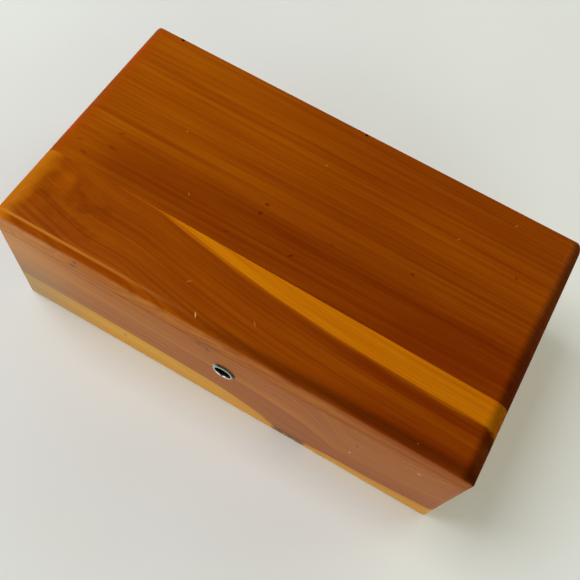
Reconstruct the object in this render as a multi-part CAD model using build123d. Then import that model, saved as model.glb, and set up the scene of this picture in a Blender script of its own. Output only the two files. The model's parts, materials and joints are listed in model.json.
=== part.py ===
from build123d import *
import os
from math import cos, radians, tan

# Locking keepsake box of polished cedar, in millimetres.  The origin is the middle of the face
# that the box stands on: +X runs along its length, +Y to the hinged back, +Z up.

# Box body
box_length = 229.0
box_width = 126.0
box_height = 72.0
wall = 10.0                 # front, back and end boards
corner_round = 3.5          # upright outside corners
base_bevel = 0.8            # bottom outside edge
rabbet_lip = 4.6            # part of the front and back boards that covers the end boards
panel_thickness = 4.5       # bottom panel
panel_height = 4.0          # from the table to the underside of the panel
groove_depth = 4.0
panel_gap = 0.3             # room left in the grooves for the panel to swell

# Lid
lid_thickness = 11.8
seam_gap = 0.2              # between the closed lid and the body
lid_end_round = 7.5
lid_front_round = 5.0
lid_back_round = 1.5
glue_line_left = -22.9      # y of the joint between the two lid boards at the left end
glue_line_right = -26.6     # and at the right end
lid_open_angle = 100.0      # the bevelled back edges meet here
stop_gap = 0.1              # between the bevels of the fully open lid

# Butt hinges
hinge_from_end = 39.5       # from the end of the box to the middle of the hinge
hinge_length = 25.0
leaf_width = 7.4            # from the middle of the pin
leaf_thickness = 1.0
pin_radius = 0.8
pin_inset = 2.4             # from the back face of the box to the middle of the pin
knuckle_count = 3
knuckle_gap = 0.2
barrel_clearance = 0.35
leaf_screw_spacing = 16.0
leaf_screw_offset = 4.9     # from the middle of the pin

# Countersunk wood screws
screw_radius = 0.8
screw_head_radius = 1.6
hinge_screw_length = 6.0
lock_screw_length = 5.0
strike_screw_length = 6.0

# Lock
lock_x = 1.5                # the keyhole sits a little to the right of the middle
keyhole_drop = 19.0         # from the top edge of the body to the middle of the keyhole
plate_thickness = 1.2
lock_plate_width = 46.0
plate_margin = 3.0          # plate below the case
lock_screw_margin = 4.0     # from the edges of the plate to its screws
case_wall = 0.6
keyhole_radius = 3.9        # hole in the case
key_post_radius = 0.9
key_post_setback = 2.5      # from the front face of the box to the tip of the post
bolt_thickness = 1.6
bolt_travel = 3.4
bolt_rise = 2.0             # from the middle of the keyhole to the lower edge of the bolt
talon_width = 1.6           # notch in the bolt that the key bit enters
talon_depth = 1.6
finger_length = 3.2
finger_height = 2.4
finger_tip_gap = 0.5        # from an unlocked finger to its lug
hook_stem = 2.4
selvedge_gap = 0.8          # from the fingers up to the selvedge
guide_spacing = 10.0
guide_radius = 1.0
guide_head_radius = 1.6
guide_head_thickness = 0.8
case_end_gap = 0.7          # from the bolt to the ends of the case
spring_thickness = 0.25
spring_height = 2.4
spring_length = 7.0
spring_rise = 1.9           # from the lower edge of the bolt to the spring

# Strike plate on the lid
strike_length = 40.0
strike_width = 6.8
strike_thickness = 1.2
strike_screw_margin = 4.0
lug_spacing = 13.0
lug_thickness = 1.4
lug_rim = 0.9               # metal round the eye of a lug
eye_gap = 0.3               # round the finger in the eye
lug_gap = 0.5               # between a lug and the lock parts around it

# Keyhole ferrule
ferrule_bore_radius = 3.7
ferrule_wall = 0.6
ferrule_flange_radius = 6.0
ferrule_rim_width = 0.8     # rolled outer edge of the flange
ferrule_rim_height = 1.1    # over the board; the flange is dished from here to the bore

# Fits
fit_gap = 0.02              # parts pressed, screwed or glued together
running_gap = 0.05          # parts that slide or turn on each other

# Levels and planes worked out from the sizes above
body_height = box_height - lid_thickness - seam_gap
lid_bottom = body_height + seam_gap
front_y = -box_width / 2
back_y = box_width / 2
inner_front_y = front_y + wall
end_x = box_length / 2
inner_end_x = end_x - wall
pivot_y = back_y - pin_inset
pivot_z = body_height + seam_gap / 2
knuckle_radius = pin_radius + leaf_thickness

# The lock, from the inside face of the front board outwards
lug_width = bolt_thickness + 2 * eye_gap + 2 * lug_rim
plate_y = inner_front_y - plate_thickness
bolt_y = plate_y - lug_gap - lug_width / 2
bolt_back_y = bolt_y + bolt_thickness / 2
bolt_front_y = bolt_y - bolt_thickness / 2
case_inner_y = bolt_y - lug_width / 2 - lug_gap
case_outer_y = case_inner_y - case_wall

# The lock, from the top edge of the body downwards
selvedge_bottom = body_height - plate_thickness
eye_z = selvedge_bottom - selvedge_gap - finger_height / 2
lug_bottom = eye_z - finger_height / 2 - eye_gap - lug_rim
bolt_top = lug_bottom - lug_gap
keyhole_z = body_height - keyhole_drop
bolt_bottom = keyhole_z + bolt_rise
talon_top = bolt_bottom + talon_depth
guide_z = (talon_top + bolt_top) / 2
case_bottom = keyhole_z - keyhole_radius - 2 * case_wall
plate_bottom = case_bottom - plate_margin

# The lock, along the front board, with the bolt drawn back
lug_positions = [lock_x - lug_spacing / 2, lock_x + lug_spacing / 2]
hook_reach = lug_thickness / 2 + finger_tip_gap + finger_length + hook_stem
bolt_left = lug_positions[0] - hook_reach
bolt_right = 2 * lock_x - bolt_left - bolt_travel
case_half_width = lock_x - bolt_left + case_end_gap + case_wall


def block(x0, x1, y0, y1, z0, z1):
    """A rectangular piece between two corners."""
    middle = Pos((x0 + x1) / 2, (y0 + y1) / 2, (z0 + z1) / 2)
    return middle * Box(abs(x1 - x0), abs(y1 - y0), abs(z1 - z0))


def rod(radius, start, end, direction):
    """A round bar along X or Y, from start to end, centred on the axis given by direction."""
    along = Cylinder(radius, abs(end - start))
    middle = (start + end) / 2
    if direction == Axis.X:
        return Pos(middle, 0, 0) * Rot(0, 90, 0) * along
    return Pos(0, middle, 0) * Rot(90, 0, 0) * along


def screw(length, gap=0.0):
    """A countersunk screw with its head's top at the origin, pointing down, grown by gap."""
    shank = screw_radius + gap
    head = screw_head_radius + gap
    shoulder = head - shank
    outline = Polyline((0, 0), (head, 0), (shank, -shoulder), (shank, -length), (0, -length), close=True)
    return revolve(Plane.XZ * make_face(outline), Axis.Z)


def screws_at(places, turn, length, gap=0.0):
    """One screw at each place, all turned the same way."""
    return [Pos(*place) * turn * screw(length, gap) for place in places]


downward = Rot(0, 0, 0)
upward = Rot(180, 0, 0)
forward = Rot(-90, 0, 0)    # into the inside face of the front board

hinge_places = {"left": hinge_from_end - end_x, "right": end_x - hinge_from_end}
leaf_screw_x = [
    hinge_x + side * leaf_screw_spacing / 2 for hinge_x in hinge_places.values() for side in (-1, 1)
]
hinge_body_screw_places = [(x, pivot_y - leaf_screw_offset, body_height) for x in leaf_screw_x]
hinge_lid_screw_places = [(x, pivot_y - leaf_screw_offset, lid_bottom) for x in leaf_screw_x]
lock_screw_places = [
    (lock_x + side * (lock_plate_width / 2 - lock_screw_margin), inner_front_y, guide_z) for side in (-1, 1)
]
strike_screw_places = [
    (lock_x + side * (strike_length / 2 - strike_screw_margin), bolt_y, lid_bottom) for side in (-1, 1)
]

hinge_body_cuts = screws_at(hinge_body_screw_places, downward, hinge_screw_length, fit_gap)
hinge_lid_cuts = screws_at(hinge_lid_screw_places, upward, hinge_screw_length, fit_gap)
lock_cuts = screws_at(lock_screw_places, forward, lock_screw_length, fit_gap)
strike_cuts = screws_at(strike_screw_places, upward, strike_screw_length, fit_gap)


def stop_bevel(side):
    """The wood taken off a back edge so that the lid stands open; side is -1 body, 1 lid."""
    half_angle = radians(lid_open_angle / 2)
    lift = side * stop_gap / 2 / cos(half_angle)
    reach = 2 * pin_inset
    rise = side * reach * tan(half_angle)
    outline = Polyline((0, lift), (reach, lift + rise), (reach, -rise), (0, -rise), close=True)
    wedge = extrude(Plane.YZ * make_face(outline), box_length, both=True)
    return Pos(0, pivot_y, pivot_z) * wedge


def hinge_recesses(side):
    """Recesses for the leaves and barrels in a back edge; side is -1 body, 1 lid."""
    cuts = []
    for hinge_x in hinge_places.values():
        half = hinge_length / 2 + running_gap
        level = body_height if side < 0 else lid_bottom
        leaf = block(hinge_x - half, hinge_x + half, pivot_y - leaf_width, pivot_y,
                     level - side * seam_gap, level + side * leaf_thickness)
        barrel = rod(knuckle_radius + barrel_clearance, hinge_x - half, hinge_x + half, Axis.X)
        cuts += [leaf, Pos(0, pivot_y, pivot_z) * barrel]
    return cuts


def body_envelope():
    """The outside of the box body: rounded upright corners, bevelled bottom and top back edges."""
    plan = RectangleRounded(box_length, box_width, corner_round)
    solid = extrude(plan, body_height)
    solid = chamfer(solid.faces().sort_by(Axis.Z)[0].edges(), base_bevel)
    return solid - stop_bevel(-1)


def panel_space(gap):
    """The bottom panel's outline between the grooves, smaller by gap all round."""
    x = inner_end_x + groove_depth - gap
    y = -inner_front_y + groove_depth - gap
    return block(-x, x, -y, y, panel_height, panel_height + panel_thickness)


def long_board(side):
    """The front (-1) or back (1) board: full length, rabbeted at both ends, grooved below."""
    outer = side * box_width / 2
    inner = outer - side * wall
    shoulder = outer - side * rabbet_lip
    board = block(-end_x, end_x, outer, inner, 0, body_height) & body_envelope()
    for end in (-1, 1):
        board -= block(end * inner_end_x, end * end_x, shoulder, inner, 0, body_height)
    return board - panel_space(0)


def end_board(side):
    """The left (-1) or right (1) board, held in the rabbets of the two long boards."""
    half = box_width / 2 - rabbet_lip
    board = block(side * inner_end_x, side * end_x, -half, half, 0, body_height) & body_envelope()
    return board - panel_space(0) - hinge_recesses(-1)


def front_board():
    """The front board with the mortise for the lock and the hole for the keyhole ferrule."""
    half_case = case_half_width + running_gap
    half_plate = lock_plate_width / 2 + running_gap
    board = long_board(-1)
    board -= block(lock_x - half_case, lock_x + half_case, case_outer_y, inner_front_y,
                   case_bottom - running_gap, body_height)
    board -= block(lock_x - half_plate, lock_x + half_plate, plate_y, inner_front_y,
                   plate_bottom - running_gap, body_height)
    board -= block(lock_x - half_plate, lock_x + half_plate, case_outer_y, inner_front_y,
                   selvedge_bottom, body_height)
    hole = rod(ferrule_bore_radius + ferrule_wall + fit_gap, front_y, case_outer_y, Axis.Y)
    return board - Pos(lock_x, 0, keyhole_z) * hole - lock_cuts


def back_board():
    """The back board with the recesses for both hinges."""
    return long_board(1) - hinge_recesses(-1) - hinge_body_cuts


def lid_envelope():
    """The slab lid: ends, front and back rounded over by different amounts."""
    slab = block(-end_x, end_x, front_y, back_y, lid_bottom, box_height)
    top_across = slab.edges().filter_by(Axis.Y).group_by(Axis.Z)[-1]
    rounded_ends = fillet(top_across, lid_end_round)
    top_along = slab.edges().filter_by(Axis.X).group_by(Axis.Z)[-1].sort_by(Axis.Y)
    rounded_front = fillet(top_along[0], lid_front_round)
    rounded_back = fillet(top_along[-1], lid_back_round)
    rounded_corners = fillet(slab.edges().filter_by(Axis.Z), corner_round)
    return (rounded_ends & rounded_front & rounded_back & rounded_corners) - stop_bevel(1)


def front_of_glue_line():
    """The space in front of the skewed joint between the lid boards."""
    outline = Polyline(
        (-end_x, glue_line_left), (end_x, glue_line_right), (end_x, front_y), (-end_x, front_y), close=True
    )
    return Pos(0, 0, lid_bottom) * extrude(make_face(outline), lid_thickness)


def strike_recess():
    """The recess for the strike plate in the underside of the lid."""
    half = strike_length / 2 + running_gap
    half_width = strike_width / 2 + running_gap
    return block(lock_x - half, lock_x + half, bolt_y - half_width, bolt_y + half_width,
                 lid_bottom, lid_bottom + strike_thickness)


def lid_front_board():
    """The narrower front board of the lid, recessed for the strike plate."""
    return (lid_envelope() & front_of_glue_line()) - strike_recess() - strike_cuts


def lid_back_board():
    """The wider back board of the lid, recessed for both hinges."""
    return lid_envelope() - front_of_glue_line() - hinge_recesses(1) - hinge_lid_cuts


def hinge_leaf(side):
    """One leaf with its rolled knuckles, about the pin; side is -1 for the body leaf, 1 for the lid."""
    near = side * seam_gap / 2
    far = near + side * leaf_thickness
    pitch = hinge_length / knuckle_count
    leaf = block(-hinge_length / 2, hinge_length / 2, -leaf_width, -knuckle_radius - barrel_clearance, near, far)
    for index in range(knuckle_count):
        if (index % 2 == 1) == (side > 0):
            start = -hinge_length / 2 + index * pitch + knuckle_gap / 2
            end = start + pitch - knuckle_gap
            leaf += block(start, end, -knuckle_radius - barrel_clearance, -pin_radius - leaf_thickness / 2, near, far)
            leaf += rod(knuckle_radius, start, end, Axis.X)
    bore_gap = running_gap if side > 0 else fit_gap
    return leaf - rod(pin_radius + bore_gap, -hinge_length / 2, hinge_length / 2, Axis.X)


def hinge_pin():
    """The steel pin, flush with the ends of the barrel."""
    return rod(pin_radius, -hinge_length / 2, hinge_length / 2, Axis.X)


def keyhole_ferrule():
    """The pressed ring in the front board: a thin tube under a dished flange with a rolled edge."""
    tube = ferrule_bore_radius + ferrule_wall
    inner_end = case_outer_y - front_y
    outline = Polyline(
        (ferrule_bore_radius, inner_end),
        (ferrule_bore_radius, 0),
        (ferrule_flange_radius - ferrule_rim_width, -ferrule_rim_height),
        (ferrule_flange_radius - ferrule_rim_width / 2, -ferrule_rim_height),
        (ferrule_flange_radius, -ferrule_rim_height / 2),
        (ferrule_flange_radius, 0),
        (tube, 0),
        (tube, inner_end),
        close=True,
    )
    return Pos(lock_x, front_y, keyhole_z) * revolve(make_face(outline), Axis.Y)


def lock_plate():
    """The back plate, flush inside the box, with its selvedge flush in the body's top edge."""
    half = lock_plate_width / 2
    plate = block(lock_x - half, lock_x + half, plate_y, inner_front_y, plate_bottom, body_height)
    plate += block(lock_x - half, lock_x + half, case_outer_y, inner_front_y, selvedge_bottom, body_height)
    slot_x = lug_thickness / 2 + lug_gap
    slot_y = lug_width / 2 + lug_gap
    for lug_x in lug_positions:
        plate -= block(lug_x - slot_x, lug_x + slot_x, bolt_y - slot_y, bolt_y + slot_y,
                       selvedge_bottom, body_height)
    post_hole = rod(key_post_radius + fit_gap, plate_y, inner_front_y, Axis.Y)
    return plate - Pos(lock_x, 0, keyhole_z) * post_hole - lock_cuts


def lock_case():
    """The pressed case: front, sides and floor, open to the back plate and the selvedge."""
    half = case_half_width
    case = block(lock_x - half, lock_x + half, case_outer_y, plate_y, case_bottom, selvedge_bottom)
    case -= block(lock_x - half + case_wall, lock_x + half - case_wall, case_inner_y, plate_y,
                  case_bottom + case_wall, selvedge_bottom)
    keyhole = rod(keyhole_radius, case_outer_y, case_inner_y, Axis.Y)
    return case - Pos(lock_x, 0, keyhole_z) * keyhole


def lock_bolt():
    """The sliding bolt: a plate with two hooked fingers, a talon and two guide slots."""
    bolt = block(bolt_left, bolt_right, bolt_front_y, bolt_back_y, bolt_bottom, bolt_top)
    finger_top = eye_z + finger_height / 2
    for lug_x in lug_positions:
        stem_left = lug_x - hook_reach
        finger_tip = stem_left + hook_stem + finger_length
        bolt += block(stem_left, stem_left + hook_stem, bolt_front_y, bolt_back_y, bolt_top, finger_top)
        bolt += block(stem_left, finger_tip, bolt_front_y, bolt_back_y,
                      finger_top - finger_height, finger_top)
    talon_x = lock_x - bolt_travel / 2
    bolt -= block(talon_x - talon_width / 2, talon_x + talon_width / 2, bolt_front_y, bolt_back_y,
                  bolt_bottom, talon_top)
    slot_radius = guide_radius + running_gap
    for side in (-1, 1):
        slot_x = lock_x + side * guide_spacing / 2 - bolt_travel / 2
        slot = extrude(SlotCenterToCenter(bolt_travel, 2 * slot_radius), bolt_thickness, both=True)
        bolt -= Pos(slot_x, bolt_y, guide_z) * Rot(90, 0, 0) * slot
    return bolt


def bolt_spring():
    """The bowed strip on the front of the bolt that rubs on the case and holds the bolt where it is."""
    bow = bolt_front_y - case_inner_y - running_gap
    outer = ThreePointArc((0, 0), (spring_length / 2, -bow), (spring_length, 0))
    inner = ThreePointArc(
        (spring_length - spring_thickness * 2, 0),
        (spring_length / 2, -bow + spring_thickness),
        (spring_thickness * 2, 0),
    )
    ends = [Line(outer @ 1, inner @ 0), Line(inner @ 1, outer @ 0)]
    strip = extrude(make_face([outer, inner] + ends), spring_height)
    return Pos(bolt_left + case_end_gap, bolt_front_y, bolt_bottom + spring_rise) * strip


def bolt_guide_stud():
    """A shouldered stud: a spacer on the plate, a neck in the bolt's slot and a riveted head."""
    stud = rod(guide_head_radius, plate_y, bolt_back_y + running_gap, Axis.Y)
    stud += rod(guide_radius, plate_y, bolt_front_y - running_gap, Axis.Y)
    stud += rod(guide_head_radius, bolt_front_y - running_gap,
                bolt_front_y - running_gap - guide_head_thickness, Axis.Y)
    return stud


def bolt_guide_studs():
    """The two studs that carry the bolt."""
    return [Pos(lock_x + side * guide_spacing / 2, 0, guide_z) * bolt_guide_stud() for side in (-1, 1)]


def key_post():
    """The post that a hollow key fits over."""
    post = rod(key_post_radius, front_y + key_post_setback, inner_front_y, Axis.Y)
    tip = post.edges().filter_by(GeomType.CIRCLE).sort_by(Axis.Y)[0]
    return Pos(lock_x, 0, keyhole_z) * chamfer(tip, key_post_radius / 3)


def strike_plate():
    """The plate let into the lid, with two lugs whose eyes take the fingers of the bolt."""
    half = strike_length / 2
    plate = block(lock_x - half, lock_x + half, bolt_y - strike_width / 2, bolt_y + strike_width / 2,
                  lid_bottom, lid_bottom + strike_thickness)
    eye_y = bolt_thickness / 2 + eye_gap
    eye_reach = finger_height / 2 + eye_gap
    for lug_x in lug_positions:
        lug_left = lug_x - lug_thickness / 2
        lug_right = lug_x + lug_thickness / 2
        plate += block(lug_left, lug_right, bolt_y - lug_width / 2, bolt_y + lug_width / 2,
                       lug_bottom, lid_bottom)
        plate -= block(lug_left, lug_right, bolt_y - eye_y, bolt_y + eye_y, eye_z - eye_reach, eye_z + eye_reach)
    return plate - strike_cuts


nodes = {
    "front_board": front_board(),
    "back_board": back_board(),
    "left_end_board": end_board(-1),
    "right_end_board": end_board(1),
    "bottom_panel": panel_space(panel_gap),
    "lid_front_board": lid_front_board(),
    "lid_back_board": lid_back_board(),
    "hinge_body_screws": screws_at(hinge_body_screw_places, downward, hinge_screw_length),
    "hinge_lid_screws": screws_at(hinge_lid_screw_places, upward, hinge_screw_length),
    "keyhole_ferrule": keyhole_ferrule(),
    "lock_plate": lock_plate(),
    "lock_case": lock_case(),
    "lock_bolt": lock_bolt(),
    "bolt_spring": bolt_spring(),
    "bolt_guide_studs": bolt_guide_studs(),
    "key_post": key_post(),
    "lock_screws": screws_at(lock_screw_places, forward, lock_screw_length),
    "strike_plate": strike_plate(),
    "strike_screws": screws_at(strike_screw_places, upward, strike_screw_length),
}
for name, hinge_x in hinge_places.items():
    at_hinge = Pos(hinge_x, pivot_y, pivot_z)
    nodes[f"hinge_{name}_body_leaf"] = at_hinge * hinge_leaf(-1) - hinge_body_cuts
    nodes[f"hinge_{name}_lid_leaf"] = at_hinge * hinge_leaf(1) - hinge_lid_cuts
    nodes[f"hinge_{name}_pin"] = at_hinge * hinge_pin()

os.makedirs("parts", exist_ok=True)
for name, shape in nodes.items():
    if isinstance(shape, list):
        shape = Compound([solid for piece in shape for solid in piece.solids()])
    export_step(shape, f"parts/{name}.step")
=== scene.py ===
import bmesh
import bpy
import json
from math import radians
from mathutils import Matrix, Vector

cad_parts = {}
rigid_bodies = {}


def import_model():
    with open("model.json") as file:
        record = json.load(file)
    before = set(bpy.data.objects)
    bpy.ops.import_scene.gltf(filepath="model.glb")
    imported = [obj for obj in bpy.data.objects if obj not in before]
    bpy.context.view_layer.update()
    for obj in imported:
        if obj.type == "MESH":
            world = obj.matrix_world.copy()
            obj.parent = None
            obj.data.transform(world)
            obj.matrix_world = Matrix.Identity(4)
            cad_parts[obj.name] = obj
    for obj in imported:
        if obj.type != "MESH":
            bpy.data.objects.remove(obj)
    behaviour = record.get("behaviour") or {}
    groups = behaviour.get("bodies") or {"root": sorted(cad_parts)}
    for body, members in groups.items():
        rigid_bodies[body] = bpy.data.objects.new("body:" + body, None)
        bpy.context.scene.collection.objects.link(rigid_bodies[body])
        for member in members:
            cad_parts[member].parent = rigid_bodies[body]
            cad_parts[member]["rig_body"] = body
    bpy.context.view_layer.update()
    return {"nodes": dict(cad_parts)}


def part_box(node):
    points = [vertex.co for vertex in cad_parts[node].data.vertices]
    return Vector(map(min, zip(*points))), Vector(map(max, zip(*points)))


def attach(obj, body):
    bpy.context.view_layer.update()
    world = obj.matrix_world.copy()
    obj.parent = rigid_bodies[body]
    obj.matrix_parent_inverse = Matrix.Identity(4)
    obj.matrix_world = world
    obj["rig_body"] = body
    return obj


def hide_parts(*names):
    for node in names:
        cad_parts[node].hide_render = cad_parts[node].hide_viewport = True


# A locking keepsake box of varnished cedar, dressed in the order in which it is put together.
# Lengths are in metres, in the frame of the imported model: X along the box, Y to the hinged
# back, Z up from the table.
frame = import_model()


# ---------------------------------------------------------------------------------------------
# Front board of the body.  One length of aromatic cedar, planed, rabbeted at both ends to cover
# the end boards, and varnished outside.  Its lower edge still carries the pale sapwood, with a
# scrap of dark bark, and the arrises are broken with sandpaper before the varnish goes on.
# ---------------------------------------------------------------------------------------------
def feed(tree, node, inputs):
    """Gives a node's inputs plain values, or sockets that are linked."""
    for name, value in inputs.items():
        if isinstance(value, bpy.types.NodeSocket):
            tree.links.new(value, node.inputs[name])
        else:
            node.inputs[name].default_value = value


def put(tree, kind, inputs=None, **settings):
    """Adds a node with its settings, then feeds its inputs."""
    node = tree.nodes.new(kind)
    for name, value in settings.items():
        setattr(node, name, value)
    feed(tree, node, inputs or {})
    return node


def calc(tree, operation, *values, clamp=False):
    """The result of a Math node on values or sockets."""
    node = put(tree, "ShaderNodeMath", dict(enumerate(values)), operation=operation, use_clamp=clamp)
    return node.outputs[0]


def times(tree, *values):
    """The product of two values or sockets."""
    return calc(tree, "MULTIPLY", *values)


def plus(tree, *values, clamp=False):
    """The sum of two values or sockets."""
    return calc(tree, "ADD", *values, clamp=clamp)


def minus(tree, *values, clamp=False):
    """The first value or socket less the second."""
    return calc(tree, "SUBTRACT", *values, clamp=clamp)


def ease(tree, value, low, high, to_low=0.0, to_high=1.0):
    """A smooth step from to_low to to_high as value goes from low to high."""
    limits = {"Value": value, "From Min": low, "From Max": high, "To Min": to_low, "To Max": to_high}
    return put(tree, "ShaderNodeMapRange", limits, interpolation_type="SMOOTHSTEP").outputs[0]


def vector_calc(tree, operation, *values):
    """The vector that a Vector Math node makes of vectors or sockets."""
    return put(tree, "ShaderNodeVectorMath", dict(enumerate(values)), operation=operation).outputs[0]


def length(tree, vector):
    """The length of a vector."""
    return put(tree, "ShaderNodeVectorMath", {0: vector}, operation="LENGTH").outputs["Value"]


def blend(tree, share, first, second, blend_type="MIX"):
    """Two colours mixed by share."""
    inputs = {0: share, 6: first, 7: second}
    return put(tree, "ShaderNodeMix", inputs, data_type="RGBA", blend_type=blend_type).outputs[2]


def noise(tree, vector, scale, detail=2.0, roughness=0.5, dimensions="3D", w=None):
    """Noise of a vector, or of w alone in one dimension."""
    values = {"Scale": scale, "Detail": detail, "Roughness": roughness}
    values.update({"W": w} if dimensions == "1D" else {"Vector": vector})
    return put(tree, "ShaderNodeTexNoise", values, noise_dimensions=dimensions).outputs["Fac"]


def vector_of(tree, x, y, z):
    """A vector from three values."""
    return put(tree, "ShaderNodeCombineXYZ", {"X": x, "Y": y, "Z": z}).outputs[0]


def new_group(name, kind, inputs, outputs):
    """A node group with named sockets: returns its tree, its inputs by name, and its output node."""
    tree = bpy.data.node_groups.new(name, kind)
    for label, socket_type, value in inputs:
        socket = tree.interface.new_socket(label, in_out="INPUT", socket_type="NodeSocket" + socket_type)
        if value is not None:
            socket.default_value = value
    for label, socket_type in outputs:
        tree.interface.new_socket(label, in_out="OUTPUT", socket_type="NodeSocket" + socket_type)
    start = tree.nodes.new("NodeGroupInput")
    end = tree.nodes.new("NodeGroupOutput")
    return tree, start.outputs, end


def place(tree, group, **inputs):
    """A node group placed in a material; underscores in the names of inputs stand for spaces."""
    named = {name.replace("_", " "): value for name, value in inputs.items()}
    return put(tree, "ShaderNodeGroup", named, node_tree=group).outputs


def drawn_out(tree, along, across, depth, along_scale, across_scale, depth_scale):
    """Coordinates for a noise that is drawn out along the grain."""
    return vector_of(tree, times(tree, along, along_scale), times(tree, across, across_scale),
                     times(tree, depth, depth_scale))


# Figure of the wood: late wood lines across the growth, fibres along it, and slow mottling.
cedar_figure, given, result = new_group(
    "cedar figure", "ShaderNodeTree",
    [("Along", "Float", 0.0), ("Across", "Float", 0.0), ("Depth", "Float", 0.0),
     ("Ring Spacing", "Float", 0.003), ("Waver", "Float", 0.001)],
    [("Late Wood", "Float"), ("Fibre", "Float"), ("Mottle", "Float")],
)
t = cedar_figure
along = given["Along"]
depth = given["Depth"]
slow = drawn_out(t, along, given["Across"], depth, 9.0, 34.0, 34.0)
bend = times(t, minus(t, noise(t, slow, 1.0), 0.5), given["Waver"])
across = plus(t, given["Across"], bend)
uneven = times(t, noise(t, None, 150.0, 1.0, dimensions="1D", w=across), 2.2)
ring = plus(t, calc(t, "DIVIDE", across, given["Ring Spacing"]), uneven)
phase = calc(t, "FRACT", ring)
rise = calc(t, "POWER", ease(t, phase, 0.25, 0.86), 2.0)
fall = ease(t, phase, 0.86, 1.0, 1.0, 0.0)
year = put(t, "ShaderNodeTexWhiteNoise", {"W": calc(t, "FLOOR", ring)}, noise_dimensions="1D")
strength = ease(t, year.outputs["Value"], 0.0, 1.0, 0.15, 1.0)
patchy = drawn_out(t, along, across, depth, 6.0, 110.0, 60.0)
breaks = ease(t, noise(t, patchy, 1.0, 2.0), 0.3, 0.65, 0.5, 1.0)
late = times(t, times(t, rise, fall), times(t, strength, breaks))
t.links.new(late, result.inputs["Late Wood"])
streaks = drawn_out(t, along, across, depth, 8.0, 620.0, 620.0)
hairs = drawn_out(t, along, across, depth, 40.0, 2600.0, 2600.0)
fibre = plus(t, times(t, noise(t, streaks, 1.0, 3.0), 0.7), times(t, noise(t, hairs, 1.0, 2.0), 0.3))
t.links.new(fibre, result.inputs["Fibre"])
clouds = drawn_out(t, along, across, depth, 10.0, 75.0, 75.0)
t.links.new(noise(t, clouds, 1.0, 3.0, 0.55), result.inputs["Mottle"])

# Colour of the wood: heartwood and sapwood, each with its fibres, under late wood and dark marks.
cedar_colour, given, result = new_group(
    "cedar colour", "ShaderNodeTree",
    [("Heartwood", "Color", (0.3, 0.1, 0.02, 1)), ("Deep Heartwood", "Color", (0.2, 0.05, 0.01, 1)),
     ("Late Wood", "Color", (0.1, 0.02, 0.005, 1)), ("Sapwood", "Color", (0.5, 0.3, 0.05, 1)),
     ("Deep", "Float", 0.0), ("Late", "Float", 0.0), ("Fibre", "Float", 0.5),
     ("Sap", "Float", 0.0), ("Dark Marks", "Float", 0.0), ("Mark Color", "Color", (0.05, 0.012, 0.003, 1))],
    [("Color", "Color")],
)
t = cedar_colour
heart = blend(t, given["Deep"], given["Heartwood"], given["Deep Heartwood"])
heart = blend(t, given["Late"], heart, given["Late Wood"])
pale = blend(t, times(t, given["Late"], 0.35), given["Sapwood"], given["Heartwood"])
wood = blend(t, given["Sap"], heart, pale)
shade = ease(t, given["Fibre"], 0.3, 0.7, 0.875, 1.12)
redder = calc(t, "POWER", shade, 2.1)
wood = blend(t, 1.0, wood, vector_of(t, shade, redder, redder), "MULTIPLY")
marked = blend(t, given["Dark Marks"], wood, given["Mark Color"])
t.links.new(marked, result.inputs["Color"])

# A small mark, such as a pin knot, a nick or a scratch, as a soft-edged ellipsoid.
small_mark, given, result = new_group(
    "small mark", "ShaderNodeTree",
    [("Vector", "Vector", None), ("Place", "Vector", None), ("Axis", "Vector", (0, 0, 1)),
     ("Turn", "Float", 0.0), ("Size", "Vector", (0.001, 0.001, 0.001)), ("Softness", "Float", 0.5)],
    [("Mask", "Float")],
)
t = small_mark
offset = vector_calc(t, "SUBTRACT", given["Vector"], given["Place"])
turned = put(t, "ShaderNodeVectorRotate", {"Vector": offset, "Axis": given["Axis"], "Angle": given["Turn"]})
fitted = vector_calc(t, "DIVIDE", turned.outputs[0], given["Size"])
core = minus(t, 1.0, given["Softness"])
t.links.new(ease(t, length(t, fitted), core, 1.0, 1.0, 0.0), result.inputs["Mask"])

# Wear along the arrises of a squared piece: nearness to two faces at once, broken up by noise.
edge_wear, given, result = new_group(
    "edge wear", "ShaderNodeTree",
    [("Vector", "Vector", None), ("Centre", "Vector", None), ("Half Size", "Vector", (0.1, 0.1, 0.1)),
     ("Reach", "Float", 0.0006)],
    [("Mask", "Float")],
)
t = edge_wear
from_middle = vector_calc(t, "SUBTRACT", given["Vector"], given["Centre"])
inset = vector_calc(t, "SUBTRACT", given["Half Size"], vector_calc(t, "ABSOLUTE", from_middle))
parts = put(t, "ShaderNodeSeparateXYZ", {0: inset}).outputs
low = calc(t, "MINIMUM", parts[0], parts[1])
high = calc(t, "MAXIMUM", parts[0], parts[1])
second = calc(t, "MAXIMUM", low, calc(t, "MINIMUM", high, parts[2]))
near = ease(t, calc(t, "DIVIDE", second, given["Reach"]), 0.2, 1.0, 1.0, 0.0)
patches = noise(t, given["Vector"], 160.0, 4.0, 0.6)
worn = times(t, near, ease(t, patches, 0.42, 0.62))
t.links.new(worn, result.inputs["Mask"])


def new_material(name):
    """A material with its node tree, its Principled shader and the Object coordinates."""
    material = bpy.data.materials.new(name)
    material.use_nodes = True
    tree = material.node_tree
    vector = put(tree, "ShaderNodeTexCoord").outputs["Object"]
    return material, tree, tree.nodes["Principled BSDF"], vector


def split_material(name):
    """A new material whose Object coordinates are also split into x, y and z."""
    material, tree, shader, vector = new_material(name)
    x, y, z = put(tree, "ShaderNodeSeparateXYZ", {0: vector}).outputs
    return material, tree, shader, vector, x, y, z


def worn_arrises(tree, vector, low, high, reach):
    """Mask of the worn arrises of a squared piece that fills a box."""
    worn = place(tree, edge_wear, Vector=vector, Centre=(low + high) / 2, Half_Size=(high - low) / 2,
                 Reach=reach)
    return worn["Mask"]


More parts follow.
